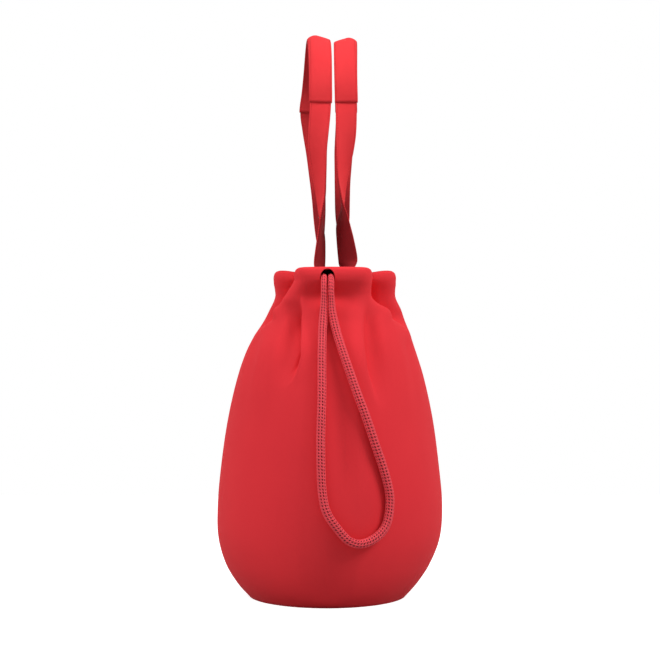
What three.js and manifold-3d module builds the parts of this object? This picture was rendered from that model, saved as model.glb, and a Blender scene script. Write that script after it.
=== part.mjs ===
// A soft drawstring tote bag with an oval base, a gathered mouth, one drawcord and two webbing handles.
// Millimetres, +Z up. +X runs to the end where the cord hangs, and -Y is the front.
import * as THREE from "three";
import { mergeVertices } from "three/addons/utils/BufferGeometryUtils.js";
import Module from "manifold-3d";

const wasm = await Module();
wasm.setup();

// Cloth and seams
const CLOTH = 3;
const SEAT_GAP = 0.3;

// Bag body, as level sections from the base up to the shoulder.
// Each row is height, half length along X and half depth along Y as shares of the belly's,
// and shift of the middle towards the back.
const BELLY_LONG = 357;
const BELLY_DEEP = 211;
const LEVELS = [
  [0, 0.84, 0.697, -2.5],
  [12, 0.899, 0.801, -2.5],
  [30, 0.952, 0.91, -2],
  [55, 0.989, 0.988, -0.8],
  [85, 1, 1, 0],
  [120, 0.983, 0.972, 0],
  [165, 0.936, 0.913, 0.3],
  [205, 0.86, 0.829, 0.6],
  [232, 0.782, 0.739, 1.2],
];
const SHOULDER_Z = 256;
const FLARE_Z = 268;
const NECK_Z = 278;
const RIM_Z = 294;
const FOLDS_START_Z = 165; // the folds fade out below this height

// A quarter of each gathered section: X and depth, from the middle of the cord end to the middle of the side.
const SHOULDER_QUARTER = [
  [124, 0], [122, 16], [116, 27], [108, 34], [103, 45], [93, 54.5], [77, 61], [54, 65], [28, 66.5], [0, 66],
];
const FLARE_QUARTER = [
  [118, 0], [117, 16], [112, 28], [106, 38], [97, 48], [84, 53], [69, 40], [65, 50], [54, 59], [0, 60.5],
];
const NECK_QUARTER = [
  [109, 0], [109, 16], [107, 29], [101, 38], [91, 40.5], [78, 32], [62, 27], [62, 43], [55, 53], [0, 56],
];
const RIM_QUARTER = [
  [112.5, 0], [112, 16], [109, 28], [101, 32], [91, 30], [77, 25.5], [61, 25.5], [61, 41], [54, 50.5], [0, 52.8],
];
// Each gathered section: height, quarter, and shift towards the back of its two ends and of its middle.
const GATHERED = [
  [SHOULDER_Z, SHOULDER_QUARTER, 2.5, 4],
  [FLARE_Z, FLARE_QUARTER, 1, 5],
  [NECK_Z, NECK_QUARTER, -1.6, 5],
  [RIM_Z, RIM_QUARTER, 3, 4.5],
];
const MIDDLE_X = 45; // the shift passes from the middle's to the ends' between these two places along X
const END_X = 85;
const VALLEY_SHARE = 5.5 / 36; // how far round the middle of a valley is

// Hem: the rim folded inwards round a tunnel for the cord
const HEM_START_Z = 280;
const HEM_TOP_Z = 306;
const HEM_OUT = 3.6;
const HEM_IN = 9;
const HEM_FOOT = 2; // how far the hem's inner face turns in at its lower edge
const HEM_STEP = 0.6; // step from the hem's lower edge to the cloth below it
const TUNNEL_OFF = -2.7;
const TUNNEL_Z = 297;
const TUNNEL_HALF_WIDE = 5.2;
const TUNNEL_HALF_TALL = 6.4;
const TUNNEL_SIDES = 10;
const SIDE_LOBE_DROP = 2.4;

// Hole that lets the cord out of the tunnel
const HOLE_Y = -2.2;
const HOLE_Z = 296.2;
const HOLE_WIDE = 13;
const HOLE_TALL = 16.2;
const HOLE_DEEP = 16; // from the middle of the tunnel out past the cloth

// Cord
const CORD = 8;
const CORD_SIDES = 8;
const CORD_STEPS = 76;
// Middle of the free cord, from one end in the hole, round the hanging loop, to the other.
const CORD_ROUTE = [
  [111.5, 0.9, 296],
  [115.5, 0.9, 294.4],
  [119.6, 0.9, 290.3],
  [122.3, 0.9, 283.5],
  [123.6, 1.3, 275.5],
  [127.2, 2, 265],
  [134.2, 5.4, 249],
  [148, 12.8, 225.4],
  [159.3, 24.5, 191.6],
  [162, 31.8, 172],
  [163, 40.7, 145.5],
  [161, 49.5, 118.7],
  [160.2, 53.4, 97.3],
  [164, 49.5, 74.5],
  [170.8, 39, 63.4],
  [176.8, 26.5, 59.4],
  [180.2, 16.8, 62.3],
  [182.6, 6.7, 73],
  [183.4, -2.7, 87.2],
  [182, -6.4, 102],
  [175.8, -8.2, 146],
  [163.7, -7.2, 191.7],
  [149, -7.2, 225.4],
  [135.2, -6.7, 249],
  [127.2, -5.8, 265],
  [123.6, -5.4, 275.5],
  [122.3, -5.3, 283.5],
  [119.6, -5.3, 290.3],
  [115.5, -5.3, 294.4],
  [111.5, -5.3, 296],
];
// The cord's two ends lie side by side in the hole, squeezed to this share of their width.
const SQUEEZE = 0.72;
const SQUEEZE_FROM_Z = 254;
const SQUEEZE_TO_Z = 282;

// Handles
const STRAP_WIDE = 19.6;
const STRAP_THICK = 2;
const LEG_X = 65;
const GRIP_END_Z = 458;
const GRIP_WALL = 0.9;
const ARCH_STEPS = 12;
const FINER = 2; // steps between one station and the next
const ARCH_TILT = 16; // degrees that the middle of each handle leans
const ARCH_DRIFT = 2.6; // power by which the arch drifts sideways towards its far end
const SEWN_HEIGHTS = [288, 292, 296];
const SEWN_GAP = 1; // room for the curve of the hem behind the flat strap
// Each leg's stations, from the sewn end up: height, X, Y, and degrees of twist about the leg.
const FRONT_NEAR_LEG = [
  [308, 66, -9.7, 118],
  [324, 65, -8.7, 114],
  [338, 65, -7.8, 104],
  [354, 65, -7.8, 85],
  [371, 65, -7.5, 67],
  [386, 65, -8.4, 56],
  [400, 65, -9.7, 43],
  [415, 65, -10.7, 30],
  [434, 65, -10.1, 15],
];
const FRONT_FAR_LEG = [
  [308, 66, -10, 100],
  [324, 65, -9.6, 84],
  [340, 65, -9.4, 68],
  [358, 65, -9.4, 57],
  [376, 65, -10.1, 50],
  [399, 65, -11.8, 38],
  [422, 65, -14, 25],
  [442, 65, -17, 10],
];
const BACK_NEAR_LEG = [
  [302, 67, 15.8, 102],
  [308.5, 66, 16.3, 141],
  [315, 65, 16.3, 153],
  [331, 65, 14, 143],
  [344, 65, 11.7, 130],
  [354, 65, 11.2, 111],
  [364, 65, 11.1, 89],
  [377, 65, 10.5, 75],
  [389, 65, 10.6, 62],
  [400, 65, 11.3, 52],
  [415, 65, 13.1, 34],
  [434, 65, 14.6, 15],
];
const BACK_FAR_LEG = [
  [308, 66, 17, 100],
  [324, 65, 15, 84],
  [340, 65, 12.6, 66],
  [358, 65, 11.3, 49],
  [387, 65, 11.3, 43],
  [404, 65, 11.9, 36],
  [422, 65, 12.8, 25],
  [442, 65, 14.8, 11],
];

const rad = THREE.MathUtils.degToRad;

// Value at x of the smooth curve through the points (xs, ys).
function through(xs, ys, x) {
  let i = 0;
  while (i < xs.length - 2 && x > xs[i + 1]) i++;
  const slope = (k) => {
    const a = Math.max(k - 1, 0);
    const b = Math.min(k + 1, xs.length - 1);
    return (ys[b] - ys[a]) / (xs[b] - xs[a]);
  };
  const wide = xs[i + 1] - xs[i];
  const t = (x - xs[i]) / wide;
  const rise = ys[i + 1] - ys[i];
  const a = slope(i) * wide - rise;
  const b = rise - slope(i + 1) * wide;
  return ys[i] + t * rise + t * (1 - t) * (a * (1 - t) + b * t);
}

// The full ring of control points from a quarter, mirrored about both middle planes and then shifted.
function ringFrom(quarter, endShift, middleShift) {
  const right = [...quarter, ...quarter.slice(0, -1).reverse().map(([x, y]) => [-x, y])];
  const back = right.slice(1, -1).reverse().map(([x, y]) => [x, -y]);
  return [...right, ...back].map(([x, y]) => {
    const share = THREE.MathUtils.smoothstep(Math.abs(x), MIDDLE_X, END_X);
    return new THREE.Vector3(x, y + THREE.MathUtils.lerp(middleShift, endShift, share), 0);
  });
}

// A level section's quarter: an ellipse that takes on the shoulder's folds with height.
function levelQuarter([z, longShare, deepShare]) {
  const [[longest]] = SHOULDER_QUARTER;
  const deepest = Math.max(...SHOULDER_QUARTER.map(([, y]) => y));
  const folds = THREE.MathUtils.smoothstep(z, FOLDS_START_Z, SHOULDER_Z);
  return SHOULDER_QUARTER.map(([x, y]) => {
    const turn = Math.atan2(y / deepest, x / longest);
    const mix = (round, folded) => round + folds * (folded - round);
    return [
      (BELLY_LONG / 2) * longShare * mix(Math.cos(turn), x / longest),
      (BELLY_DEEP / 2) * deepShare * mix(Math.sin(turn), y / deepest),
    ];
  });
}

const SECTIONS = [
  ...LEVELS.map((level) => ({ z: level[0], ring: ringFrom(levelQuarter(level), level[3], level[3]) })),
  ...GATHERED.map(([z, quarter, end, middle]) => ({ z, ring: ringFrom(quarter, end, middle) })),
].map(({ z, ring }) => ({ z, curve: new THREE.CatmullRomCurve3(ring, true, "centripetal") }));
const SECTION_HEIGHTS = SECTIONS.map(({ z }) => z);

// Point of the wall's outer face, at a share u of the way round and a height z.
function wall(u, z) {
  const places = SECTIONS.map(({ curve }) => curve.getPoint(((u % 1) + 1) % 1));
  const at = Math.min(z, RIM_Z);
  const x = through(SECTION_HEIGHTS, places.map((p) => p.x), at);
  const y = through(SECTION_HEIGHTS, places.map((p) => p.y), at);
  return new THREE.Vector3(x, y, z);
}

// Level direction of the wall at that point
function alongWall(u, z) {
  const step = 1 / 720;
  return wall(u + step, z).sub(wall(u - step, z)).normalize();
}

// The same point moved out by off along the level normal of the wall.
function wallOff(u, z, off) {
  const along = alongWall(u, z);
  return wall(u, z).addScaledVector(new THREE.Vector3(along.y, -along.x, 0), off);
}

// How much lower the rim is on the side lobes than on the two end lobes.
function rimDrop(u) {
  return SIDE_LOBE_DROP * Math.sin(2 * Math.PI * u) ** 2;
}

// A closed surface from equal rings of points. It is capped at both ends, or joined end to end.
function loft(rings, joined = false) {
  const count = rings[0].length;
  const index = [];
  const bands = joined ? rings.length : rings.length - 1;
  for (let i = 0; i < bands; i++) {
    const low = i * count;
    const high = ((i + 1) % rings.length) * count;
    for (let j = 0; j < count; j++) {
      const k = (j + 1) % count;
      index.push(low + j, low + k, high + k, low + j, high + k, high + j);
    }
  }
  if (!joined) {
    const last = (rings.length - 1) * count;
    for (let j = 1; j < count - 1; j++) {
      index.push(0, j + 1, j, last, last + j, last + j + 1);
    }
  }
  const geometry = new THREE.BufferGeometry().setFromPoints(rings.flat());
  return geometry.setIndex(index);
}

function solid(geometry) {
  const bare = geometry.clone();
  bare.deleteAttribute("normal");
  bare.deleteAttribute("uv");
  const merged = mergeVertices(bare, 1e-3);
  return new wasm.Manifold(
    new wasm.Mesh({
      numProp: 3,
      vertProperties: new Float32Array(merged.attributes.position.array),
      triVerts: new Uint32Array(merged.index.array),
    }),
  );
}

function geometryOf(made) {
  const mesh = made.getMesh();
  const geometry = new THREE.BufferGeometry();
  geometry.setAttribute("position", new THREE.BufferAttribute(mesh.vertProperties, 3));
  return geometry.setIndex(new THREE.BufferAttribute(mesh.triVerts, 1));
}

// Bag body: one closed section of the cloth, outside up, over the hem and down inside, carried round the bag
const COLUMNS = 84;
const OUTSIDE_HEIGHTS = [
  0, 6, 14, 26, 42, 62, 85, 112, 140, 165, 188, 207, 222, 235, 246, SHOULDER_Z, FLARE_Z, 273, HEM_START_Z,
];
const INSIDE_HEIGHTS = [HEM_START_Z, FLARE_Z, SHOULDER_Z, 238, 212, 170, 120, 70, 34, 12, 0];

function hemProfile(u) {
  const top = HEM_TOP_Z - rimDrop(u);
  const tall = top - HEM_START_Z;
  return [
    [HEM_OUT * 0.15, 0.14],
    [HEM_OUT * 0.6, 0.38],
    [HEM_OUT * 0.92, 0.56],
    [HEM_OUT, 0.7],
    [HEM_OUT * 0.75, 0.87],
    [0.4, 0.97],
    [-2.5, 1],
    [-5.6, 0.95],
    [1 - HEM_IN, 0.84],
    [-HEM_IN, 0.65],
    [-HEM_IN, 0.4],
    [HEM_FOOT - HEM_IN, 0.28],
    [-CLOTH - HEM_STEP, 0.25],
  ].map(([off, share]) => [off, HEM_START_Z + share * tall]);
}

function bodySection(u) {
  return [
    ...OUTSIDE_HEIGHTS.map((z) => [0, z]),
    ...hemProfile(u),
    ...INSIDE_HEIGHTS.map((z) => [-CLOTH, z]),
  ].map(([off, z]) => wallOff(u, z, off));
}

// An upright oval section inside the hem, at a share u of the way round.
function ringInHem(u, halfWide, halfTall, sides) {
  const middle = TUNNEL_Z - rimDrop(u) / 2;
  return Array.from({ length: sides }, (_, i) => {
    const turn = (2 * Math.PI * i) / sides;
    return wallOff(u, middle - halfTall * Math.cos(turn), TUNNEL_OFF + halfWide * Math.sin(turn));
  });
}

// Seen from above the columns run clockwise, so that the lofted faces point out.
function around(section) {
  return Array.from({ length: COLUMNS }, (_, i) => section(1 - i / COLUMNS));
}

function bagBody() {
  const cloth = solid(loft(around(bodySection), true));
  const tunnelSection = (u) => ringInHem(u, TUNNEL_HALF_WIDE, TUNNEL_HALF_TALL, TUNNEL_SIDES);
  const tunnel = solid(loft(around(tunnelSection), true));
  const oval = new THREE.Shape().absellipse(0, 0, HOLE_TALL / 2, HOLE_WIDE / 2, 0, 2 * Math.PI);
  const punch = new THREE.ExtrudeGeometry(oval, { depth: HOLE_DEEP, bevelEnabled: false, curveSegments: 20 });
  punch.rotateY(Math.PI / 2).translate(RIM_QUARTER[0][0] + TUNNEL_OFF, HOLE_Y, HOLE_Z);
  return geometryOf(cloth.subtract(tunnel).subtract(solid(punch)));
}

// Base panel: an oval of the same cloth, sewn inside the lower edge of the wall
function basePanel() {
  const edge = around((u) => wallOff(u, 0, -CLOTH - SEAT_GAP));
  const oval = new THREE.Shape(edge.map(({ x, y }) => new THREE.Vector2(x, y)));
  return new THREE.ExtrudeGeometry(oval, { depth: CLOTH, bevelEnabled: false });
}

// Held cord: it runs round the tunnel and stops short of the hole.
function cordInHem() {
  const open = 2; // columns from the middle of the hole to each end of the cord
  const rings = around((u) => ringInHem(u, CORD / 2, CORD / 2, CORD_SIDES));
  return loft(rings.slice(open, COLUMNS - open + 1));
}

// The share of its width that the cord keeps at a point: its two ends are squeezed side by side near the hole.
function squeezed({ z }) {
  return 1 - (1 - SQUEEZE) * THREE.MathUtils.smoothstep(z, SQUEEZE_FROM_Z, SQUEEZE_TO_Z);
}

// Hanging loop: a round section along the route, squeezed across the bag near the hole
function cordLoop() {
  const path = new THREE.CatmullRomCurve3(CORD_ROUTE.map((p) => new THREE.Vector3(...p)), false, "centripetal");
  const { normals, binormals } = path.computeFrenetFrames(CORD_STEPS, false);
  const rings = normals.map((normal, i) => {
    const middle = path.getPointAt(i / CORD_STEPS);
    return Array.from({ length: CORD_SIDES }, (_, j) => {
      const turn = (2 * Math.PI * j) / CORD_SIDES;
      const offset = normal.clone().multiplyScalar((CORD / 2) * Math.cos(turn));
      offset.addScaledVector(binormals[i], (CORD / 2) * Math.sin(turn));
      offset.y *= squeezed(middle);
      return offset.add(middle);
    });
  });
  return loft(rings);
}

// Handles: a strap that runs from its near sewn end, up, over the arch and down to its far sewn end.
// side is 1 for the front handle, whose inner edge lies towards +Y, and -1 for the back one.
function widthAt(twist, end, side) {
  const turn = rad(twist);
  return new THREE.Vector3(end * Math.sin(turn), side * Math.cos(turn), 0);
}

// The sewn end lies flat on the inside of the hem, in the valley between two lobes.
function sewnStations(end, side) {
  const u = (end > 0 ? 0 : 0.5) - end * side * VALLEY_SHARE;
  const off = -HEM_IN - SEWN_GAP - STRAP_THICK / 2;
  return SEWN_HEIGHTS.map((z) => {
    const along = alongWall(u, z);
    return { middle: wallOff(u, z, off), width: along.multiplyScalar(end * Math.sign(along.x)) };
  });
}

function legStations(leg, end, side) {
  const rows = leg.map(([z, x, y, twist]) => ({
    middle: new THREE.Vector3(end * x, y, z),
    width: widthAt(twist, end, side),
  }));
  return [...sewnStations(end, side), ...rows];
}

function archStations(nearY, farY, side) {
  return Array.from({ length: ARCH_STEPS + 1 }, (_, i) => {
    const turn = (Math.PI * i) / ARCH_STEPS;
    const y = nearY + (farY - nearY) * (i / ARCH_STEPS) ** ARCH_DRIFT;
    const middle = new THREE.Vector3(
      LEG_X * Math.cos(turn),
      y,
      GRIP_END_Z + LEG_X * Math.sin(turn),
    );
    const lean = rad(ARCH_TILT) * Math.sin(turn);
    return { middle, width: new THREE.Vector3(0, side * Math.cos(lean), -Math.sin(lean)) };
  });
}

// Frames along stations: each has a middle, a unit vector across the strap and one through it.
function framesOf(stations) {
  return stations.map(({ middle, width }, i) => {
    const before = stations[Math.max(i - 1, 0)].middle;
    const after = stations[Math.min(i + 1, stations.length - 1)].middle;
    const along = after.clone().sub(before).normalize();
    const across = width.clone().addScaledVector(along, -width.dot(along)).normalize();
    const up = new THREE.Vector3().crossVectors(along, across);
    return { middle, across, up };
  });
}

function sectionAt({ middle, across, up }, outline) {
  return outline.map(([a, b]) => middle.clone().addScaledVector(across, a).addScaledVector(up, b));
}

function rectangle(wide, thick) {
  return [[-wide / 2, -thick / 2], [wide / 2, -thick / 2], [wide / 2, thick / 2], [-wide / 2, thick / 2]];
}

// A flat oval with half-round edges
function flatOval(wide, thick) {
  const turns = [-90, -45, 0, 45, 90];
  const edge = (wide - thick) / 2;
  const half = (sign) =>
    turns.map((d) => [
      sign * (edge + (thick / 2) * Math.cos(rad(d))),
      sign * (thick / 2) * Math.sin(rad(d)),
    ]);
  return [...half(1), ...half(-1)];
}

// Stations closer together along the smooth curve through the given ones
function finer(stations, times) {
  const last = stations.length - 1;
  const middles = new THREE.CatmullRomCurve3(stations.map((s) => s.middle), false, "catmullrom");
  const widths = new THREE.CatmullRomCurve3(stations.map((s) => s.width), false, "catmullrom");
  return Array.from({ length: last * times + 1 }, (_, i) => ({
    middle: middles.getPoint(i / (last * times)),
    width: widths.getPoint(i / (last * times)).normalize(),
  }));
}

const HANDLES = {
  front: { side: 1, near: FRONT_NEAR_LEG, far: FRONT_FAR_LEG, nearY: -8.7, farY: -18.9 },
  back: { side: -1, near: BACK_NEAR_LEG, far: BACK_FAR_LEG, nearY: 14.5, farY: 17 },
};

// The frames of a whole handle, and those of its arch alone.
function handleFrames({ side, near, far, nearY, farY }) {
  const nearLeg = legStations(near, 1, side);
  const arch = archStations(nearY, farY, side);
  const farLeg = legStations(far, -1, side).reverse();
  const all = framesOf(finer([...nearLeg, ...arch, ...farLeg], FINER));
  const start = nearLeg.length * FINER;
  return { all, arch: all.slice(start, start + ARCH_STEPS * FINER + 1) };
}

function handleStrap(handle) {
  const outline = rectangle(STRAP_WIDE, STRAP_THICK);
  return loft(handleFrames(handle).all.map((frame) => sectionAt(frame, outline)));
}

// Grip: a sleeve of doubled cloth round the arch of the strap
function gripSleeve(handle) {
  const { all, arch } = handleFrames(handle);
  const boreWide = STRAP_WIDE + 2 * SEAT_GAP;
  const boreThick = STRAP_THICK + 2 * SEAT_GAP;
  const outline = flatOval(boreWide + 2 * GRIP_WALL, boreThick + 2 * GRIP_WALL);
  const outer = solid(loft(arch.map((frame) => sectionAt(frame, outline))));
  const bore = solid(loft(all.map((frame) => sectionAt(frame, rectangle(boreWide, boreThick)))));
  return geometryOf(outer.subtract(bore));
}

const red = { roughness: 0.75, metalness: 0 };
const CLOTH_RED = new THREE.MeshStandardMaterial({ color: 0xd7383d, ...red });
const INNER_RED = new THREE.MeshStandardMaterial({ color: 0xb22c32, ...red });
const CORD_RED = new THREE.MeshStandardMaterial({ color: 0xe8464e, ...red });
const WEBBING_RED = new THREE.MeshStandardMaterial({ color: 0xcf3439, ...red });

const bag = new THREE.Group();

function add(name, geometry, material) {
  const mesh = new THREE.Mesh(geometry, material);
  mesh.name = name;
  bag.add(mesh);
}

add("bag_body", bagBody(), CLOTH_RED);
add("base_panel", basePanel(), INNER_RED);
add("drawcord_in_hem", cordInHem(), CORD_RED);
add("drawcord_loop", cordLoop(), CORD_RED);
for (const [name, handle] of Object.entries(HANDLES)) {
  add(`${name}_handle_strap`, handleStrap(handle), WEBBING_RED);
  add(`${name}_grip_sleeve`, gripSleeve(handle), CLOTH_RED);
}

export default bag;
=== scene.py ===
"""The looks of a soft drawstring tote bag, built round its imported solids.

Shapes are worked out in millimetres in the row's frame, and new_piece() turns them into metres.
+X runs to the end where the cord hangs, -Y is the front, and +Z is up.
"""

import math

import bpy
import numpy as np
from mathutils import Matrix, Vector


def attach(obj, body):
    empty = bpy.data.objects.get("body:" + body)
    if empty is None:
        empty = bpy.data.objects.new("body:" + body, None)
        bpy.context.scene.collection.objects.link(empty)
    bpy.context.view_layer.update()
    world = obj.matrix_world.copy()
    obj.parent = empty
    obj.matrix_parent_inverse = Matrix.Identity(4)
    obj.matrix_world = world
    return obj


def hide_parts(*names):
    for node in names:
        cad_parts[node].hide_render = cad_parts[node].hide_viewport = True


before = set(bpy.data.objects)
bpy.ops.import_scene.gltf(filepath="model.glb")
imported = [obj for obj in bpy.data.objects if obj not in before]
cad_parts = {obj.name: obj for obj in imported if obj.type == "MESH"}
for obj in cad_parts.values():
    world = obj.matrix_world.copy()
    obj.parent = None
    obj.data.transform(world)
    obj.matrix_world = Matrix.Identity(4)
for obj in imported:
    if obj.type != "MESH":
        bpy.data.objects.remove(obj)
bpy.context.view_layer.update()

# Camera, level and on the bag's long axis
CAMERA_X = 2.88
CAMERA_Z = 0.2486
CAMERA_ANGLE = 12.32


def make_camera():
    data = bpy.data.cameras.new("camera")
    data.angle = math.radians(CAMERA_ANGLE)
    data.clip_start, data.clip_end = 0.05, 60
    camera = bpy.data.objects.new("camera", data)
    camera.location = (CAMERA_X, 0, CAMERA_Z)
    camera.rotation_euler = (math.pi / 2, 0, math.pi / 2)
    bpy.context.scene.collection.objects.link(camera)
    bpy.context.scene.camera = camera


make_camera()


# Curves and grids
def smoothstep(x, low, high):
    """3t^2 - 2t^3, where t is how far x has gone from low to high, kept from 0 to 1."""
    t = np.clip((x - low) / (high - low), 0, 1)
    return t * t * (3 - 2 * t)


def bell(x, width):
    """exp(-(x / width)^2)."""
    return np.exp(-((x / width) ** 2))


def unit(v):
    """v divided by its own length."""
    return v / np.linalg.norm(v, axis=-1, keepdims=True)


# A curve's knots are spaced by the distance between its points to one of these powers
CENTRIPETAL, UNIFORM = 0.5, 0


def catmull(points, t, closed, power):
    """Point at t, from 0 to 1, of the Catmull-Rom curve through the points.

    A cubic joins each point to the next, and its slopes come from the neighbours and the knots' spacing.
    """
    count = len(points)
    spans = count if closed else count - 1
    place = (t % 1 if closed else np.clip(t, 0, 1)) * spans
    first = np.minimum(place.astype(int), spans - 1)
    share = (place - first)[..., None]
    if closed:
        around = [points[(first + k) % count] for k in (-1, 0, 1, 2)]
    else:
        padded = np.vstack([2 * points[:1] - points[1:2], points, 2 * points[-1:] - points[-2:-1]])
        around = [padded[first + k + 1] for k in (-1, 0, 1, 2)]
    p0, p1, p2, p3 = around
    gap = [
        np.maximum(np.linalg.norm(b - a, axis=-1, keepdims=True), 1e-4) ** power
        for a, b in ((p0, p1), (p1, p2), (p2, p3))
    ]
    slope1 = (p1 - p0) / gap[0] - (p2 - p0) / (gap[0] + gap[1]) + (p2 - p1) / gap[1]
    slope2 = (p2 - p1) / gap[1] - (p3 - p1) / (gap[1] + gap[2]) + (p3 - p2) / gap[2]
    slope1, slope2 = slope1 * gap[1], slope2 * gap[1]
    rise = p2 - p1
    bend = 3 * rise - 2 * slope1 - slope2
    twist = slope1 + slope2 - 2 * rise
    return p1 + share * (slope1 + share * (bend + share * twist))


def through(xs, ys, x):
    """Value at x of the smooth curve through the points (xs, ys), a cubic between neighbours.

    ys has one array for each of xs. The slope at a point is that of the line between its neighbours.
    """

    def at(table, k):
        return np.take_along_axis(table, k[None], axis=0)[0]

    xs = np.asarray(xs, float)
    ends = len(xs) - 1
    low, high = np.maximum(np.arange(ends + 1) - 1, 0), np.minimum(np.arange(ends + 1) + 1, ends)
    shape = (-1,) + (1,) * (ys.ndim - 1)
    slopes = (ys[high] - ys[low]) / (xs[high] - xs[low]).reshape(shape)
    i = np.clip(np.searchsorted(xs, x, side="left") - 1, 0, ends - 1)
    wide = xs[i + 1] - xs[i]
    t = (x - xs[i]) / wide
    start, rise = at(ys, i), at(ys, i + 1) - at(ys, i)
    a = at(slopes, i) * wide - rise
    b = rise - at(slopes, i + 1) * wide
    return start + t * rise + t * (1 - t) * (a * (1 - t) + b * t)


def new_piece(name, points, faces, material, replaced, uv=None, values=None):
    """A mesh from points in millimetres, worn by the frame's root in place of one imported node.

    uv has one pair for each point, and values is a dict of arrays with one number for each point.
    """
    points = np.asarray(points, float).reshape(-1, 3)
    faces = np.asarray(faces, np.int32)
    mesh = bpy.data.meshes.new(name)
    mesh.vertices.add(len(points))
    mesh.vertices.foreach_set("co", (points / 1000).astype(np.float32).ravel())
    mesh.loops.add(faces.size)
    mesh.loops.foreach_set("vertex_index", faces.ravel())
    mesh.polygons.add(len(faces))
    mesh.polygons.foreach_set("loop_start", np.arange(len(faces), dtype=np.int32) * faces.shape[1])
    mesh.polygons.foreach_set("use_smooth", np.ones(len(faces), bool))
    if uv is not None:
        layer = mesh.uv_layers.new(name="along")
        layer.data.foreach_set("uv", uv.reshape(-1, 2)[faces.ravel()].astype(np.float32).ravel())
    for key, value in (values or {}).items():
        attribute = mesh.attributes.new(key, "FLOAT", "POINT")
        attribute.data.foreach_set("value", np.asarray(value, np.float32).ravel())
    mesh.update()
    mesh.validate()
    piece = bpy.data.objects.new(name, mesh)
    bpy.context.scene.collection.objects.link(piece)
    mesh.materials.append(material)
    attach(piece, "root")
    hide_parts(replaced)
    return piece


def grid_faces(rows, columns, wrap_rows=False, wrap_columns=False):
    """Quads of a grid of rows by columns. Point (r, c) is number r * columns + c."""
    r = np.arange(rows if wrap_rows else rows - 1)[:, None]
    c = np.arange(columns if wrap_columns else columns - 1)[None, :]
    r2, c2 = (r + 1) % rows, (c + 1) % columns
    corners = [r * columns + c, r * columns + c2, r2 * columns + c2, r2 * columns + c]
    return np.stack([np.broadcast_to(k, (len(r), c.shape[1])) for k in corners], -1).reshape(-1, 4)


def repeat_ends(rows):
    """The rows with the first and the last one twice, to go with close_ends()."""
    return np.concatenate([rows[:1], rows, rows[-1:]])


def close_ends(points, middles):
    """A tube's rows of points with one more row at each end, drawn in to the tube's middle."""
    return np.concatenate([middles[:1, None] + 0 * points[:1], points, middles[-1:, None] + 0 * points[-1:]])


# The bag's wall, from the same sections as its solid. A level's row is its height, its shares of the belly's
# length and depth, and its shift towards the back
BELLY_LONG = 357
BELLY_DEEP = 211
LEVELS = [
    (0, 0.84, 0.697, -2.5),
    (12, 0.899, 0.801, -2.5),
    (30, 0.952, 0.91, -2),
    (55, 0.989, 0.988, -0.8),
    (85, 1, 1, 0),
    (120, 0.983, 0.972, 0),
    (165, 0.936, 0.913, 0.3),
    (205, 0.86, 0.829, 0.6),
    (232, 0.782, 0.739, 1.2),
]
FOLDS_START_Z = 165
SHOULDER_Z, FLARE_Z, NECK_Z, RIM_Z = 256, 268, 278, 294
# A quarter of each gathered section, as (x, y) from the cord's end to the middle of the back
SHOULDER_QUARTER = np.array(
    [
        (124, 0), (122, 16), (117, 27), (110.5, 34), (106, 45),
        (91.5, 54.5), (73, 59.5), (54, 65), (28, 66.5), (0, 66),
    ]
)
FLARE_QUARTER = np.array(
    [
        (118, 0), (117, 16), (111.5, 28), (104, 38), (94.5, 48),
        (81.5, 52.5), (62, 37), (53, 49), (44, 58.8), (0, 60.5),
    ]
)
NECK_QUARTER = np.array(
    [
        (109, 0), (109.3, 16), (109.3, 29), (102.5, 38), (91, 40.5),
        (78, 32), (60, 27), (57, 43), (50, 53.3), (0, 56),
    ]
)
RIM_QUARTER = np.array(
    [
        (112.5, 0), (112, 16), (109, 28), (101, 32), (91, 30),
        (77, 25.5), (61, 25.5), (61, 41), (54, 50.5), (0, 52.8),
    ]
)
# Height, quarter, and how far the section's two ends and its middle are shifted towards the back
GATHERED = [
    (SHOULDER_Z, SHOULDER_QUARTER, 2.5, 4),
    (FLARE_Z, FLARE_QUARTER, 1, 5),
    (NECK_Z, NECK_QUARTER, -1.6, 5),
    (RIM_Z, RIM_QUARTER, 3, 4.5),
]
# Distances from the middle plane between which the middle's shift gives way to the ends'
END_FROM, END_TO = 45, 85
# Share of the way round from an end of the bag to the valley beside it
VALLEY_SHARE = 5.5 / 36

CLOTH = 3
HEM_START_Z, HEM_TOP_Z = 280, 306
HEM_OUT, HEM_IN, HEM_FOOT, HEM_STEP = 3.6, 9, 2, 0.6
# The cord's tunnel in the hem, with the shares of the rim's dip by which it is lower and less tall
TUNNEL_OFF, TUNNEL_Z, TUNNEL_HALF_WIDE, TUNNEL_HALF_TALL = -2.7, 297, 5.2, 6.4
TUNNEL_LOWER, TUNNEL_LESS_TALL, TUNNEL_SIDES = 0.6, 0.2, 20
# Dips of the rim in the side lobes and in the valleys by the ends
SIDE_LOBE_DROP, VALLEY_DROP, VALLEY_WIDE = 2.4, 3.6, 0.033
VALLEY_LOWEST = VALLEY_SHARE + 0.005
HOLE_Y, HOLE_Z, HOLE_WIDE, HOLE_TALL, HOLE_DEEP, HOLE_SIDES = -2.2, 296.2, 13, 16.2, 16, 48


def ring_from(quarter, end_shift, middle_shift):
    """The full ring of points from a quarter, mirrored about both middle planes.

    It is shifted along Y, by one value near its two ends and another at its middle.
    """
    flip_x, flip_y = np.array([-1, 1]), np.array([1, -1])
    right = np.vstack([quarter, quarter[-2::-1] * flip_x])
    ring = np.vstack([right, right[-2:0:-1] * flip_y])
    share = smoothstep(np.abs(ring[:, 0]), END_FROM, END_TO)
    ring[:, 1] += middle_shift + share * (end_shift - middle_shift)
    return ring


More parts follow.
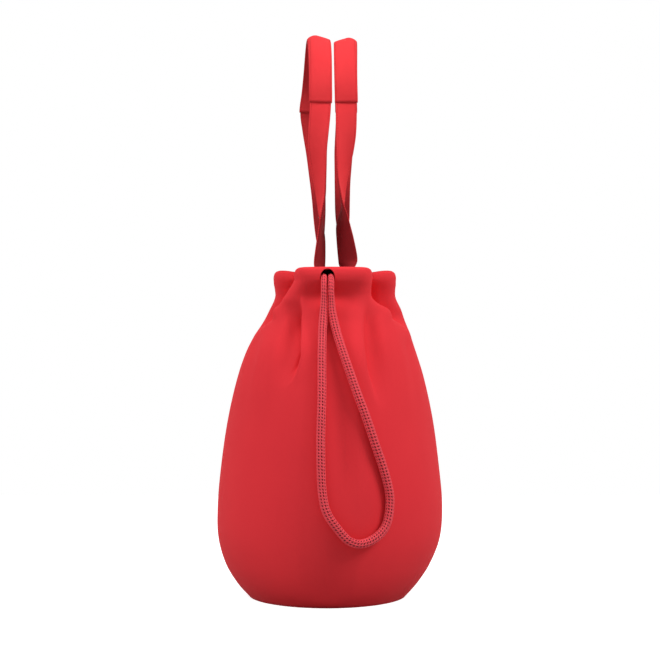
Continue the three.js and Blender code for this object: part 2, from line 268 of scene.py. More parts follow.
def level_quarter(z, long_share, deep_share):
    """An ellipse that takes on the shoulder's folds with height."""
    longest, deepest = SHOULDER_QUARTER[0, 0], SHOULDER_QUARTER[:, 1].max()
    folds = smoothstep(np.float64(z), FOLDS_START_Z, SHOULDER_Z)
    shape = SHOULDER_QUARTER / (longest, deepest)
    turn = np.arctan2(shape[:, 1], shape[:, 0])
    round_shape = np.stack([np.cos(turn), np.sin(turn)], -1)
    halves = np.array([BELLY_LONG / 2 * long_share, BELLY_DEEP / 2 * deep_share])
    return halves * (round_shape + folds * (shape - round_shape))


SECTION_HEIGHTS = [level[0] for level in LEVELS] + [section[0] for section in GATHERED]
SECTION_RINGS = [ring_from(level_quarter(z, a, b), shift, shift) for z, a, b, shift in LEVELS] + [
    ring_from(quarter, end_shift, middle_shift) for z, quarter, end_shift, middle_shift in GATHERED
]


def wall(u, z):
    """Place (x, y) of the wall's outer face at a share u of the way round and a height z.

    Each level section is a closed curve through its ring. A point takes the place at u on every section,
    and a smooth curve through those places, by height, gives the place at z.
    """
    places = np.stack([catmull(ring, u, True, CENTRIPETAL) for ring in SECTION_RINGS])
    at = np.minimum(z, RIM_Z) + np.zeros(u.shape)
    return np.stack([through(SECTION_HEIGHTS, places[..., k], at) for k in (0, 1)], -1)


def along_wall(u, z):
    """Level direction (x, y) of the wall, from a point just before to a point just after."""
    step = 1 / 720
    return unit(wall(u + step, z) - wall(u - step, z))


def wall_off(u, z, off):
    """Point of the wall moved out by off along its level normal, as (x, y, z)."""
    u, z, off = np.broadcast_arrays(u, z, off)
    along = along_wall(u, z)
    out = np.stack([along[..., 1], -along[..., 0]], -1)
    return np.concatenate([wall(u, z) + out * off[..., None], z[..., None]], -1)


def share_from_end(u):
    """Share of the way round from the nearer end of the bag."""
    return np.abs((u + 0.25) % 0.5 - 0.25)


def rim_drop(u):
    """How much lower the rim is: a sine squared for the side lobes, and a bell in each valley."""
    valley = VALLEY_DROP * bell(share_from_end(u) - VALLEY_LOWEST, VALLEY_WIDE)
    return SIDE_LOBE_DROP * np.sin(2 * np.pi * u) ** 2 + valley


def tunnel_middle(u):
    """Height of the tunnel's middle, which follows the rim part of the way down."""
    return TUNNEL_Z - TUNNEL_LOWER * rim_drop(u)


# Folds of the cloth on the wall, as rows that follow a line: side of the bag in X, heights, Y of the line at
# those heights, depth, widths towards -Y and +Y, width of the ridges beside it, and lean towards +Y
FOLDS = [
    (1, (284, 262, 247, 225, 208, 196), (-28, -28.5, -28.5, -29, -34, -41), 17, 11, 2.2, 20, 0.24),
    (1, (266, 256, 245, 228, 218, 206), (-30.6, -30.8, -30.8, -31, -33.2, -38), 9, 1.7, 1.7, 0.1, 0),
    (1, (288, 265, 240, 215, 190, 175), (36, 35.5, 36, 39, 44, 48), 12, 4.5, 13, 22, -0.1),
    (1, (262, 235, 200, 160, 120, 55), (3, 5, 8, 10, 13, 17), 7.5, 16, 16, 32, 0),
    (-1, (286, 268, 246, 226, 206, 190), (-22, -23, -24, -27, -32, -37), 4, 9, 3, 14, 0.3),
    (-1, (284, 262, 238, 212, 188, 165), (30, 31, 32, 36, 42, 47), 4, 4, 10, 14, -0.2),
    (-1, (262, 235, 205, 170, 140, 115), (4, 3, 0, -4, -6, -8), 2, 12, 12, 22, 0),
]
# Share of a fold's height at which it is deepest, its ridges' height as a share of its depth, and the powers
# of its narrower and wider side
FOLD_FULLEST, RIDGE_HIGH, NARROW_POWER, WIDE_POWER = 0.45, 0.25, 2, 1.2
# Distances from the middle plane between which the folds grow
FOLDS_FROM_X, FOLDS_TO_X = 20, 60


def folds_on_wall(xy, z):
    """Height of the folds above the plain wall, and how far they carry the cloth towards +Y.

    Each is a groove along its line, exp(-(d / width)^power) at the distance d across it. Each side has its
    own width and power. Wider bells raise a soft ridge on both sides. It fades out towards the ends of the
    line, and the cloth in it is carried sideways by its lean times its depth.
    """
    height, sideways = np.zeros(z.shape), np.zeros(z.shape)
    for side, heights, ys, depth, left, right, ridge, lean in FOLDS:
        order = np.argsort(heights)
        heights, ys = np.array(heights, float)[order], np.array(ys, float)[order]
        across = xy[..., 1] - np.interp(z, heights, ys)
        fullest = heights[0] + FOLD_FULLEST * (heights[-1] - heights[0])
        fade = smoothstep(z, heights[0], fullest) * (1 - smoothstep(z, fullest, heights[-1]))
        deep = depth * fade * smoothstep(side * xy[..., 0], FOLDS_FROM_X, FOLDS_TO_X)
        width = np.where(across < 0, left, right)
        power = np.where(width > min(left, right), WIDE_POWER, NARROW_POWER)
        groove = np.exp(-(np.abs(across) / width) ** power)
        height += deep * (RIDGE_HIGH * bell(across, ridge) - groove)
        sideways += deep * lean * groove
    return height, sideways


def hem_profile(u):
    """The folded rim's section: rows of (off, height) over the tunnel and down the inside, for each u."""
    top = HEM_TOP_Z - rim_drop(u)
    tall = top - HEM_START_Z
    rows = np.array(
        [
            (0.08 * HEM_OUT, 0.08),
            (0.45 * HEM_OUT, 0.3),
            (0.86 * HEM_OUT, 0.52),
            (HEM_OUT, 0.7),
            (0.8 * HEM_OUT, 0.86),
            (0.25 * HEM_OUT, 0.96),
            (-2.5, 1),
            (-5.6, 0.95),
            (1 - HEM_IN, 0.84),
            (-HEM_IN, 0.65),
            (-HEM_IN, 0.4),
            (HEM_FOOT - HEM_IN, 0.28),
            (-CLOTH - HEM_STEP, 0.25),
        ]
    )
    fine = catmull(rows, np.linspace(0, 1, HEM_ROWS), False, CENTRIPETAL)
    return fine[:, :1] + 0 * u, HEM_START_Z + fine[:, 1:] * tall


# Columns round the bag, which crowd at the cord's end, and rows up the wall, over the hem and down inside
COLUMNS, CROWD = 480, 0.68
WALL_ROWS, WALL_CROWD = 118, 0.12
HEM_ROWS, INSIDE_ROWS = 44, 34
# Sag above the shoulder: its depth, its place and width round the bag, and heights where it grows and fades
SAG, SAG_AT, SAG_WIDE = 7, 0.195, 0.02
SAG_GROWS_Z, SAG_FADES_Z = (243, 266), (267, 288)


def round_the_bag(columns, crowd=0.0):
    """Shares of the way round, clockwise from above, so that lofted faces point out.

    An even share less crowd times its sine lies closer together at the cord end.
    """
    even = np.arange(columns) / columns
    return 1 - (even - crowd * np.sin(2 * np.pi * even) / (2 * np.pi))


def body_points():
    """The cloth's closed section, outside up, over the hem and down inside, carried round the bag.

    The rows of the wall crowd together towards the hem. In the valleys by the ends the cloth above the
    shoulder sags by a bell round the valley.
    """
    u = round_the_bag(COLUMNS, CROWD)[None, :]
    share = np.linspace(0, 1, WALL_ROWS)[:, None]
    outside_z = HEM_START_Z * (share + WALL_CROWD * np.sin(np.pi * share) * (1 - share)) + 0 * u
    inside_z = np.linspace(HEM_START_Z, 0, INSIDE_ROWS)[:, None] + 0 * u
    hem_off, hem_z = hem_profile(u)
    off = np.vstack([0 * outside_z, hem_off, 0 * inside_z - CLOTH])
    z = np.vstack([outside_z, hem_z, inside_z])
    u = np.broadcast_to(u, off.shape)
    height, sideways = folds_on_wall(wall(u, z), z)
    points = wall_off(u, z, off + height)
    points[..., 1] += sideways
    sag = SAG * bell(share_from_end(u) - SAG_AT, SAG_WIDE)
    points[..., 2] -= sag * smoothstep(z, *SAG_GROWS_Z) * (1 - smoothstep(z, *SAG_FADES_Z))
    return points


def torus_faces(points):
    """Quads of a grid of points that closes both ways."""
    return grid_faces(*points.shape[:2], wrap_rows=True, wrap_columns=True)


def tunnel_points():
    """An oval section, wide by tall about the cord's height, carried round inside the hem."""
    turn = (2 * np.pi * np.arange(TUNNEL_SIDES) / TUNNEL_SIDES)[:, None]
    u = round_the_bag(COLUMNS // 2)[None, :]
    off = TUNNEL_OFF + TUNNEL_HALF_WIDE * np.sin(turn)
    z = tunnel_middle(u) - (TUNNEL_HALF_TALL - TUNNEL_LESS_TALL * rim_drop(u)) * np.cos(turn)
    return wall_off(u, z, off)


def cut_away(piece, cutter):
    """Cuts the cutter's shape out of the piece, and removes the cutter."""
    cut = piece.modifiers.new("cut", "BOOLEAN")
    cut.operation, cut.solver, cut.object = "DIFFERENCE", "MANIFOLD", cutter
    seen = bpy.context.evaluated_depsgraph_get()
    made = bpy.data.meshes.new_from_object(piece.evaluated_get(seen), depsgraph=seen)
    piece.modifiers.clear()
    piece.data = made
    bpy.data.objects.remove(cutter)


def plain_cutter(name, points, faces):
    """A bare solid from points in millimetres, to be cut out of a piece."""
    mesh = bpy.data.meshes.new(name)
    mesh.from_pydata((points / 1000).tolist(), [], faces)
    mesh.update()
    cutter = bpy.data.objects.new(name, mesh)
    bpy.context.scene.collection.objects.link(cutter)
    return cutter


def hole_cutter():
    """An upright oval, carried straight out along X through the hem's outer cloth."""
    turn = 2 * np.pi * np.arange(HOLE_SIDES) / HOLE_SIDES
    oval = np.stack([HOLE_Y + HOLE_WIDE / 2 * np.cos(turn), HOLE_Z + HOLE_TALL / 2 * np.sin(turn)], -1)
    start = RIM_QUARTER[0, 0] + TUNNEL_OFF
    ends = [np.column_stack([np.full(HOLE_SIDES, x), oval]) for x in (start, start + HOLE_DEEP)]
    sides = grid_faces(2, HOLE_SIDES, wrap_columns=True).tolist()
    caps = [list(range(HOLE_SIDES))[::-1], list(range(HOLE_SIDES, 2 * HOLE_SIDES))]
    return plain_cutter("hole_cutter", np.vstack(ends), sides + caps)


# Materials
def colour(red, green, blue):
    """A colour given from 0 to 255 as seen on a screen, as the shader's linear values."""
    seen = np.array([red, green, blue]) / 255
    linear = np.where(seen <= 0.04045, seen / 12.92, ((seen + 0.055) / 1.055) ** 2.4)
    return (*linear.tolist(), 1)


class Finish:
    """A node-built material: node() adds a node, joins its inputs and returns one of its outputs."""

    def __init__(self, name, roughness, sheen=0.0, specular=0.12):
        self.material = bpy.data.materials.new(name)
        self.material.use_nodes = True
        self.tree = self.material.node_tree
        self.shader = self.tree.nodes["Principled BSDF"]
        self.shader.inputs["Roughness"].default_value = roughness
        self.shader.inputs["Specular IOR Level"].default_value = specular
        self.shader.inputs["Sheen Weight"].default_value = sheen
        self.shader.inputs["Sheen Roughness"].default_value = 0.45

    def node(self, kind, inputs=None, output=0, **settings):
        made = self.tree.nodes.new(kind)
        for key, value in settings.items():
            setattr(made, key, value)
        for key, value in (inputs or {}).items():
            if isinstance(value, bpy.types.NodeSocket):
                self.tree.links.new(value, made.inputs[key])
            else:
                made.inputs[key].default_value = value
        return made.outputs[output]

    def math(self, operation, a, b=0.0, clamp=False):
        return self.node("ShaderNodeMath", {0: a, 1: b}, operation=operation, use_clamp=clamp)

    def mix(self, share, a, b):
        return self.node("ShaderNodeMix", {0: share, 6: a, 7: b}, output=2, data_type="RGBA")

    def ramp(self, value, low, high):
        """0 at low, 1 at high, smooth between."""
        return self.node(
            "ShaderNodeMapRange",
            {0: value, 1: low, 2: high, 3: 0.0, 4: 1.0},
            interpolation_type="SMOOTHSTEP",
        )

    def paint(self, socket):
        self.tree.links.new(socket, self.shader.inputs["Base Color"])

    def bump(self, height, distance, strength=1.0):
        normal = self.node("ShaderNodeBump", {"Strength": strength, "Distance": distance, "Height": height})
        self.tree.links.new(normal, self.shader.inputs["Normal"])

    def place(self):
        return self.node("ShaderNodeTexCoord", output=3)

    def noise(self, place, scale, detail=3.0, roughness=0.55):
        return self.node(
            "ShaderNodeTexNoise",
            {"Vector": place, "Scale": scale, "Detail": detail, "Roughness": roughness},
        )


def knit_cloth(name, lit, deep):
    """Smooth foam-backed cloth: a fine knit face, slow changes of colour, and a soft sheen."""
    cloth = Finish(name, 0.8, sheen=0.01, specular=0.06)
    place = cloth.place()
    slow = cloth.noise(place, 9.0, 2.0)
    fine = cloth.noise(place, 900.0, 2.0)
    shade = cloth.math("ADD", cloth.math("MULTIPLY", slow, 0.8), cloth.math("MULTIPLY", fine, 0.25))
    cloth.paint(cloth.mix(cloth.ramp(shade, 0.25, 0.8), deep, lit))
    knit = cloth.node("ShaderNodeTexVoronoi", {"Vector": place, "Scale": 1300.0})
    cloth.bump(cloth.math("ADD", knit, cloth.math("MULTIPLY", fine, 0.6)), 0.00006)
    return cloth.material


BAG_CLOTH = knit_cloth("bag_cloth", colour(234, 56, 63), colour(227, 52, 60))
INNER_CLOTH = knit_cloth("inner_cloth", colour(196, 46, 52), colour(182, 40, 46))


def make_body():
    """The body's cloth, with the cord's tunnel and its hole cut out of the hem."""
    points = body_points()
    piece = new_piece("bag_body_cloth", points, torus_faces(points), BAG_CLOTH, "bag_body")
    tunnel = tunnel_points()
    cut_away(piece, plain_cutter("tunnel", tunnel.reshape(-1, 3), torus_faces(tunnel).tolist()))
    cut_away(piece, hole_cutter())
    piece.data.name = piece.name


# Cord: its thickness, and the middles of its free loop, the same as its solid's
CORD = 8.0
CORD_ROUTE = np.array(
    [
        (111.5, 0.9, 296), (115.5, 0.9, 294.4), (119.6, 0.9, 290.3), (122.3, 0.9, 283.5), (123.6, 1.3, 275.5),
        (127.2, 2, 265), (134.2, 5.4, 249), (148, 12.8, 225.4), (159.3, 24.5, 191.6), (162, 31.8, 172),
        (163, 40.7, 145.5), (161, 49.5, 118.7), (160.2, 53.4, 97.3), (164, 49.5, 74.5), (170.8, 39, 63.4),
        (176.8, 26.5, 59.4), (180.2, 16.8, 62.3), (182.6, 6.7, 73), (183.4, -2.7, 87.2), (182, -6.4, 102),
        (175.8, -8.2, 146), (163.7, -7.2, 191.7), (149, -7.2, 225.4), (135.2, -6.7, 249), (127.2, -5.8, 265),
        (123.6, -5.4, 275.5), (122.3, -5.3, 283.5), (119.6, -5.3, 290.3), (115.5, -5.3, 294.4),
        (111.5, -5.3, 296),
    ]
)
# Share of its width that the cord keeps in the hole, and the heights between which it is squeezed to it
SQUEEZE, SQUEEZE_FROM_Z, SQUEEZE_TO_Z = 0.72, 254, 282
# The braid's gaps: how many round, their pitch along, the slant of a gap and of a row, and half a gap's size
# round and along as shares of its cell
BRAID_COLUMNS, BRAID_PITCH = 8, 2.9
GAP_SLANT, ROW_SLANT, GAP_ROUND, GAP_ALONG = 0.55, 0.12, 0.28, 0.26
# Relief: how far under the cord's size the strands' middle height lies, their swell, and the gaps' depth
STRANDS_UNDER, SWELL_HIGH, GAP_DEEP = 0.12, 0.4, 0.9
# The held run stops this share of the way round short of the hole, on both sides
HELD_CLEAR, HELD_STOPS = 0.024, 160


def evenly(points, spacing):
    """Points along the smooth curve through the ones given, spaced evenly, and the distance of each."""
    fine = catmull(points, np.linspace(0, 1, 40 * len(points)), False, CENTRIPETAL)
    far = np.concatenate([[0], np.cumsum(np.linalg.norm(np.diff(fine, axis=0), axis=1))])
    stops = np.linspace(0, far[-1], int(far[-1] / spacing) + 1)
    return np.stack([np.interp(stops, far, fine[:, k]) for k in range(3)], -1), stops


def steady_frames(middles, first_side):
    """Along, side and up vectors at each point, turned as little as possible from one point to the next.

    Each side vector is the last one with its part along the new direction taken off.
    """
    along = unit(np.gradient(middles, axis=0))
    sides = [np.array(first_side, float)]
    for direction in along:
        last = sides[-1]
        sides.append(unit(last - direction * last.dot(direction)))
    side = np.array(sides[1:])
    return along, side, np.cross(along, side)


def braid(turn, far):
    """Relief of the braid at an angle round the cord and a distance along it: gap and swell, both up to 1.

    The gaps lie in a grid, one row each pitch, and gap is a bell round the middle of each, an oval that
    slants. Round the gaps the strands swell between one another, by the mean of two cosines.
    """
    a = turn * BRAID_COLUMNS / (2 * np.pi) + 0.5
    b = far / BRAID_PITCH + ROW_SLANT * a
    da = (a + 0.5) % 1 - 0.5
    db = (b + 0.5) % 1 - 0.5
    slant = GAP_SLANT * da
    gap = np.exp(-((da / GAP_ROUND) ** 2) - ((db + slant) / GAP_ALONG) ** 2)
    swell = 0.5 + 0.25 * (np.cos(2 * np.pi * (a + 0.5)) + np.cos(2 * np.pi * (b + slant + 0.5)))
    return gap, swell


def braided_cord(name):
    """Braided yarn: painted shade in the gaps, with fine fibres across the strands."""
    yarn = Finish(name, 0.7, sheen=0.02, specular=0.15)
    gap = yarn.node("ShaderNodeAttribute", attribute_name="gap", output=2)
    place = yarn.node("ShaderNodeUVMap", uv_map="along")
    fibres = yarn.node(
        "ShaderNodeTexWave",
        {"Vector": place, "Scale": 9.0, "Distortion": 2.0, "Detail": 1.0},
        bands_direction="DIAGONAL",
    )
    tone = yarn.mix(fibres, colour(250, 66, 80), colour(255, 98, 108))
    # The near-black in the gaps is painted shade; the gaps' real depth is in the cord's shape.
    yarn.paint(yarn.mix(yarn.ramp(gap, 0.25, 0.6), tone, colour(78, 0, 4)))
    yarn.bump(fibres, 0.00008)
    return yarn.material


CORD_YARN = braided_cord("cord_yarn")


def new_cord(name, replaced, route, first_side, spacing, sides, squeeze=None):
    """A round section with the braid's relief, carried along the route, and the middles it is carried on."""
    middles, far = evenly(route, spacing)
    along, side, up = steady_frames(middles, first_side)
    turn = (2 * np.pi * np.arange(sides) / sides)[None, :]
    gap, swell = braid(turn, far[:, None])
    radius = CORD / 2 - STRANDS_UNDER + SWELL_HIGH * (swell - 0.5) - GAP_DEEP * gap
    sideways, upward = radius * np.cos(turn), radius * np.sin(turn)
    offset = side[:, None] * sideways[..., None] + up[:, None] * upward[..., None]
    if squeeze is not None:
        offset[..., 1] *= squeeze(middles)[:, None]
    uv = np.stack(np.broadcast_arrays(turn / (2 * np.pi), far[:, None] / BRAID_PITCH), -1)
    piece = new_piece(
        name,
        close_ends(middles[:, None] + offset, middles),
        grid_faces(len(middles) + 2, sides, wrap_columns=True),
        CORD_YARN,
        replaced,
        repeat_ends(uv),
        {"gap": repeat_ends(gap)},
    )
    return piece, middles


def squeezed(middles):
    """Share of its width that the cord keeps, less where its two ends lie side by side near the hole."""
    return 1 - (1 - SQUEEZE) * smoothstep(middles[:, 2], SQUEEZE_FROM_Z, SQUEEZE_TO_Z)


def make_cord():
    loop, middles = new_cord("hanging_cord", "drawcord_loop", CORD_ROUTE, (0, 1, 0), 0.52, 64, squeezed)


def make_cord_in_hem():
    u = np.linspace(HELD_CLEAR, 1 - HELD_CLEAR, HELD_STOPS)
    route = wall_off(u, tunnel_middle(u), TUNNEL_OFF)
    new_cord("held_cord", "drawcord_in_hem", route, (0, 0, 1), 1.1, 32)


# Handles: the same stations as their solids. A leg's row is its height, its X and Y, and its turn in degrees
STRAP_WIDE, STRAP_THICK, STRAP_CORNER = 19.6, 2, 0.8
# The grip's cover: its gap round the strap, how much wider and thicker than its bore it is, and its section
SEAT_GAP, GRIP_WIDER, GRIP_THICKER, GRIP_CORNER, GRIP_CROWN = 0.3, 1.2, 0.7, 1.5, 0.4
LEG_X, GRIP_END_Z = 65, 458
ARCH_STEPS, ARCH_TILT, ARCH_DRIFT = 12, 16, 2.6
SEWN_HEIGHTS, SEWN_GAP = (288, 292, 296), 1
# Rows between two stations
STRAP_FINER = 8
# Rise of a cupped leg's edges, and heights where it grows and fades
CUP, CUP_GROWS_Z, CUP_FADES_Z = 1.1, (325, 360), (425, 452)
# Drop of the arch's rolled edge, and the distance from the strap's middle where it starts
ROLL, ROLL_FROM = 3.6, 2.5
# Bow of a leg, and its length below the grip
BOW, BOW_LONG = 26, 115
# Share of painted shade on the inner face, all over and more low down, and heights between which the rest
# fades
INNER_PAINTED_SHADE, LOW_PAINTED_SHADE, LOW_PAINTED_SHADE_Z = 0.34, 0.6, (362, 408)
# Stitches: the row's distance in from the edge, its width and pitch, and the oversewn edge's width and pitch
STITCH_IN, STITCH_WIDE, STITCH_PITCH, EDGE_WIDE, EDGE_PITCH = 1.7, 0.35, 2.6, 0.55, 2.2
HANDLES = {
    "front": {
        "side": 1,
        "near": [
            (308, 66, -9.7, 118), (324, 65, -8.7, 114), (338, 65, -7.8, 104), (354, 65, -7.8, 85),
            (371, 65, -7.5, 67), (386, 65, -8.4, 56), (400, 65, -9.7, 43), (415, 65, -10.7, 30),
            (434, 65, -10.1, 15),
        ],
        "far": [
            (308, 66, -10, 100), (324, 65, -9.6, 84), (340, 65, -9.4, 68), (358, 65, -9.4, 57),
            (376, 65, -10.1, 50), (399, 65, -11.8, 38), (422, 65, -14, 25), (442, 65, -17, 10),
        ],
        "near_y": -8.7,
        "far_y": -18.9,
        "rise": 65,
        "bow": 0,
    },
    "back": {
        "side": -1,
        "near": [
            (302, 67, 15.8, 102), (308.5, 66, 16.3, 141), (315, 65, 16.3, 153), (331, 65, 14, 143),
            (344, 65, 11.7, 130), (354, 65, 11.2, 111), (364, 65, 11.1, 89), (377, 65, 10.5, 75),
            (389, 65, 10.6, 62), (400, 65, 11.3, 52), (415, 65, 13.1, 34), (434, 65, 14.6, 15),
        ],
        "far": [
            (308, 66, 17, 100), (324, 65, 15, 84), (340, 65, 12.6, 66), (358, 65, 11.3, 49),
            (387, 65, 11.3, 43), (404, 65, 11.9, 36), (422, 65, 12.8, 25), (442, 65, 14.8, 11),
        ],
        "near_y": 15,
        "far_y": 15.6,
        "rise": 62.8,
        "bow": -1.2,
    },
}


def leg_stations(leg, end, side):
    """Middles and width vectors of a leg, from its sewn end in the valley of the hem up to the grip."""
    u = np.full(3, (0 if end > 0 else 0.5) - end * side * VALLEY_SHARE)
    sewn_z = np.array(SEWN_HEIGHTS, float)
    sewn = wall_off(u, sewn_z, -HEM_IN - SEWN_GAP - STRAP_THICK / 2)
    flat = along_wall(u, sewn_z)
    flat = np.column_stack([flat * (end * np.sign(flat[:, :1])), 0 * sewn_z])
    z, x, y, twist = np.array(leg, float).T
    turn = np.radians(twist)
    middles = np.vstack([sewn, np.column_stack([end * x, y, z])])
    widths = np.vstack(
        [flat, np.column_stack([end * np.sin(turn), side * np.cos(turn), 0 * turn])]
    )
    return middles, widths


def arch_stations(near_y, far_y, side, rise, bow):
    """A half round from the near grip end to the far one that drifts sideways and leans at its top."""
    i = np.arange(ARCH_STEPS + 1) / ARCH_STEPS
    turn = np.pi * i
    y = near_y + (far_y - near_y) * i**ARCH_DRIFT + bow * np.sin(turn)
    lean = np.radians(ARCH_TILT) * np.sin(turn)
    middles = np.column_stack([LEG_X * np.cos(turn), y, GRIP_END_Z + rise * np.sin(turn)])
    return middles, np.column_stack([0 * lean, side * np.cos(lean), -np.sin(lean)])


def handle_line(handle, finer):
    """Middles, across and up vectors along a whole handle, and the rows where its arch starts and ends."""
    near_m, near_w = leg_stations(handle["near"], 1, handle["side"])
    arch_m, arch_w = arch_stations(*(handle[k] for k in ("near_y", "far_y", "side", "rise", "bow")))
    far_m, far_w = leg_stations(handle["far"], -1, handle["side"])
    middles = np.vstack([near_m, arch_m, far_m[::-1]])
    widths = np.vstack([near_w, arch_w, far_w[::-1]])
    share = np.linspace(0, 1, (len(middles) - 1) * finer + 1)
    middles = catmull(middles, share, False, UNIFORM)
    widths = unit(catmull(widths, share, False, UNIFORM))
    along = unit(np.gradient(middles, axis=0))
    across = unit(widths - along * (widths * along).sum(1, keepdims=True))
    up = np.cross(along, across)
    start = len(near_m) * finer
    return middles, across, up, start, start + ARCH_STEPS * finer


def flat_section(wide, thick, corner, crown=0.0):
    """Points round a flat strip, as (across, up): a bulge over each face and a quarter circle at each corner.

    The bulge is crown times one minus the fourth power of the share of the half width.
    """
    flat = wide / 2 - corner
    across = np.linspace(-flat, flat, 17)
    face = np.column_stack([across, thick / 2 + crown * (1 - (across / flat) ** 4)])
    turn = np.radians(np.linspace(75, -75, 6))
    bend = np.column_stack([flat + corner * np.cos(turn), (thick / 2 - corner) * np.sign(turn)])
    bend[:, 1] += corner * np.sin(turn)
    return np.vstack([face, bend, -face, -bend])


def stitched(finish, place, at, wide, pitch):
    """1 on the stitches of the two rows that run along at a distance from the middle, and 0 off them."""
    across = finish.node("ShaderNodeSeparateXYZ", {"Vector": place})
    along = finish.node("ShaderNodeSeparateXYZ", {"Vector": place}, output=1)
    off = finish.math("ABSOLUTE", finish.math("SUBTRACT", finish.math("ABSOLUTE", across), at))
    step = finish.math("FRACT", finish.math("DIVIDE", along, pitch))
    gap = finish.math("ABSOLUTE", finish.math("SUBTRACT", step, 0.5))
    row = finish.math("SUBTRACT", 1.0, finish.ramp(off, wide * 0.6, wide))
    return finish.math("MULTIPLY", row, finish.math("SUBTRACT", 1.0, finish.ramp(gap, 0.28, 0.38)))


def webbing(name, edge):
    """Flat woven webbing: fine ribs across, painted shade on the inner face, stitches by each edge and
    oversewn edges.

    edge is the distance from the middle to the edge, in millimetres.
    """
    weave = Finish(name, 0.75, sheen=0.01, specular=0.06)
    place = weave.node("ShaderNodeUVMap", uv_map="along")
    inner = weave.node("ShaderNodeAttribute", attribute_name="inner", output=2)
    ribs = weave.node(
        "ShaderNodeTexWave",
        {"Vector": place, "Scale": 0.9, "Distortion": 0.4, "Detail": 1.0},
        bands_direction="Y",
    )
    slow = weave.noise(weave.place(), 30.0)
    lit = weave.mix(slow, colour(236, 56, 62), colour(246, 66, 70))
    # The inner face's dark red is painted shade, mixed in by the inner attribute, most low down on the legs.
    painted_shade_red = weave.mix(slow, colour(140, 32, 38), colour(150, 38, 42))
    row = stitched(weave, place, edge - STITCH_IN, STITCH_WIDE, STITCH_PITCH)
    oversewn = stitched(weave, place, edge, EDGE_WIDE, EDGE_PITCH)
    cloth = weave.mix(inner, lit, painted_shade_red)
    cloth = weave.mix(weave.math("MULTIPLY", row, 0.5), cloth, colour(176, 26, 36))
    weave.paint(weave.mix(weave.math("MULTIPLY", oversewn, 0.4), cloth, colour(122, 12, 20)))
    weave.bump(weave.math("ADD", ribs, weave.math("MULTIPLY", row, 2.5)), 0.00006)
    return weave.material


WEBBING = webbing("webbing", STRAP_WIDE / 2)
GRIP_CLOTH = webbing("grip_cloth", STRAP_WIDE / 2 + SEAT_GAP + GRIP_WIDER / 2)


def outward(handle):
    """1 if the strap's outer face, away from the middle of its arch, is on its up side, and -1 if not."""
    up, start, end = handle_line(handle, 1)[2:]
    return 1 if up[(start + end) // 2, 2] > 0 else -1


def strip(handle, section, rows=slice(None)):
    """A section carried along some rows of the handle: its points, their distances along and their middles.

    Down the legs both edges rise from the outer face by CUP times the square of their distance from the
    middle. Over the arch the edge away from the other handle rolls inwards by ROLL times a square that starts
    at ROLL_FROM. Below the grip a leg bows outwards by BOW t (1 - t) (1.6 - t), where t runs from 0 just below
    the grip's end to 1 at BOW_LONG below it.
    """
    middles, across, up, start, end = handle_line(handle, STRAP_FINER)
    t = np.clip((GRIP_END_Z - 1 - middles[:, 2]) / BOW_LONG, 0, 1)
    middles = middles + np.outer(BOW * t * (1 - t) * (1.6 - t), (1, 0, 0)) * np.sign(middles[:, :1])
    arch = np.sin(np.pi * np.clip((np.arange(len(middles)) - start) / (end - start), 0, 1))
    leg = smoothstep(middles[:, 2], *CUP_GROWS_Z) * (1 - smoothstep(middles[:, 2], *CUP_FADES_Z))
    a, b = section[None, :, 0], section[None, :, 1]
    half = STRAP_WIDE / 2
    cup = CUP * leg[:, None] * (a / half) ** 2
    rolled = np.clip((-a - ROLL_FROM) / (half - ROLL_FROM), 0, 1.3) ** 2
    roll = ROLL * smoothstep(arch, 0.1, 0.9)[:, None] * rolled
    b = b + outward(handle) * (cup - roll)
    points = middles[:, None] + across[:, None] * a[..., None] + up[:, None] * b[..., None]
    far = np.concatenate([[0], np.cumsum(np.linalg.norm(np.diff(middles, axis=0), axis=1))])
    return points[rows], far[rows], middles[rows]


def painted_shade_of_inner_face(handle, section, middles):
    """How much painted shade shows on the inner face: none outside, some at the arch, most low down."""
    inner = smoothstep(-outward(handle) * section[None, :, 1], -0.2, 0.2)
    low = 1 - smoothstep(middles[:, 2], *LOW_PAINTED_SHADE_Z)
    return inner * (INNER_PAINTED_SHADE + LOW_PAINTED_SHADE * low[:, None])


def make_strap(name, handle):
    section = flat_section(STRAP_WIDE, STRAP_THICK, STRAP_CORNER)
    points, far, middles = strip(handle, section)
    uv = np.stack(np.broadcast_arrays(section[None, :, 0], far[:, None]), -1)
    new_piece(
        f"{name}_strap_webbing",
        close_ends(points, middles),
        grid_faces(len(points) + 2, len(section), wrap_columns=True),
        WEBBING,
        f"{name}_handle_strap",
        repeat_ends(uv),
        {"inner": repeat_ends(painted_shade_of_inner_face(handle, section, middles))},
    )


def make_grip(name, handle):
    """The cover round the arch: an outer skin and a bore, joined at both ends."""
    start, end = (k * STRAP_FINER for k in handle_line(handle, 1)[3:])
    arch = slice(start, end + 1)
    wide, thick = STRAP_WIDE + 2 * SEAT_GAP, STRAP_THICK + 2 * SEAT_GAP
    outer = flat_section(wide + GRIP_WIDER, thick + GRIP_THICKER, GRIP_CORNER, GRIP_CROWN)
    inner = flat_section(wide, thick, STRAP_CORNER)
    outside, far, middles = strip(handle, outer, arch)
    inside = strip(handle, inner, arch)[0]
    points = np.concatenate([outside, inside[::-1]])
    far = np.concatenate([far, far[::-1]])
    # Painted shade on the cover's inner faces, as on the strap.
    shade = np.concatenate([painted_shade_of_inner_face(handle, skin, middles) for skin in (outer, inner)])
    uv = np.stack(np.broadcast_arrays(outer[None, :, 0], far[:, None]), -1)
    new_piece(
        f"{name}_grip_cover",
        points,
        torus_faces(points),
        GRIP_CLOTH,
        f"{name}_grip_sleeve",
        uv,
        {"inner": shade},
    )


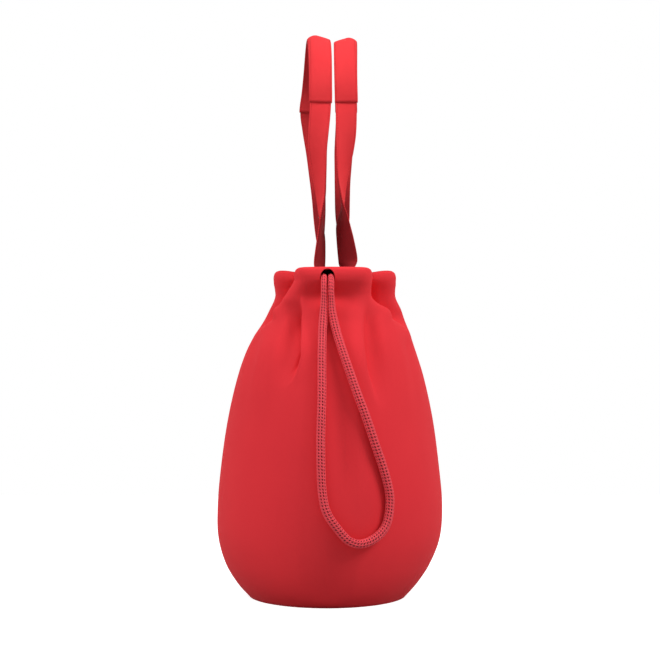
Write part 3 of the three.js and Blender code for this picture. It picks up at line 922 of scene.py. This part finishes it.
# Floor, world and lamps
def seen_rays(tree):
    """1 on the rays that show a thing, straight, in a gloss or through glass, and 0 on those that light."""
    path = tree.nodes.new("ShaderNodeLightPath")
    seen = path.outputs["Is Camera Ray"]
    for name in ("Is Glossy Ray", "Is Transmission Ray"):
        either = tree.nodes.new("ShaderNodeMath")
        either.operation = "MAXIMUM"
        tree.links.new(seen, either.inputs[0])
        tree.links.new(path.outputs[name], either.inputs[1])
        seen = either.outputs[0]
    return seen


def make_floor():
    """A sheet of white paper that looks as white as the world behind it."""
    mesh = bpy.data.meshes.new("floor")
    far = 1.7
    mesh.from_pydata([(-far, -far, 0), (far, -far, 0), (far, far, 0), (-far, far, 0)], [], [(0, 1, 2, 3)])
    floor = bpy.data.objects.new("floor", mesh)
    bpy.context.scene.collection.objects.link(floor)
    paper = Finish("white_paper", 0.9)
    seen = seen_rays(paper.tree)
    paper.paint(paper.mix(seen, (0.4, 0.4, 0.4, 1), (0.82, 0.82, 0.82, 1)))
    strength = paper.math("MULTIPLY", seen, 0.72)
    glow = paper.node("ShaderNodeEmission", {"Color": (1, 1, 1, 1), "Strength": strength})
    both = paper.node("ShaderNodeAddShader", {0: paper.shader.outputs[0], 1: glow})
    paper.tree.links.new(both, paper.tree.nodes["Material Output"].inputs["Surface"])
    mesh.materials.append(paper.material)


def make_world():
    """Soft white light from all round, and a plain white view behind the bag."""
    world = bpy.data.worlds.new("studio")
    bpy.context.scene.world = world
    world.use_nodes = True
    tree = world.node_tree
    soft, plain = tree.nodes["Background"], tree.nodes.new("ShaderNodeBackground")
    for background, strength in ((soft, 0.34), (plain, 1.0)):
        background.inputs["Color"].default_value = (1, 1, 1, 1)
        background.inputs["Strength"].default_value = strength
    mix = tree.nodes.new("ShaderNodeMixShader")
    tree.links.new(seen_rays(tree), mix.inputs[0])
    tree.links.new(soft.outputs[0], mix.inputs[1])
    tree.links.new(plain.outputs[0], mix.inputs[2])
    tree.links.new(mix.outputs[0], tree.nodes["World Output"].inputs["Surface"])


# Square lamps, one metre wide: name, place, aim and power
LAMPS = [
    ("right_lamp", (0.8, 1.85, 1.9), (0, 0, 0.2), 37.5),
    ("left_lamp", (0.8, -1.85, 1.85), (0, 0, 0.2), 31),
    ("top_lamp", (0.6, 0.0, 2.1), (0, 0, 0.3), 7),
]


def make_lamp(name, place, aim, power):
    data = bpy.data.lights.new(name, "AREA")
    data.shape, data.size, data.energy = "SQUARE", 1.0, power
    lamp = bpy.data.objects.new(name, data)
    lamp.location = place
    facing = Vector(aim) - Vector(place)
    lamp.rotation_euler = facing.to_track_quat("-Z", "Y").to_euler()
    bpy.context.scene.collection.objects.link(lamp)


make_cord()
make_cord_in_hem()
make_body()
for handle_name, handle_parts in HANDLES.items():
    make_strap(handle_name, handle_parts)
    make_grip(handle_name, handle_parts)
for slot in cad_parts["base_panel"].material_slots:
    slot.material = INNER_CLOTH
make_floor()
make_world()
for lamp_parts in LAMPS:
    make_lamp(*lamp_parts)

bpy.context.scene.view_settings.view_transform = "Standard"
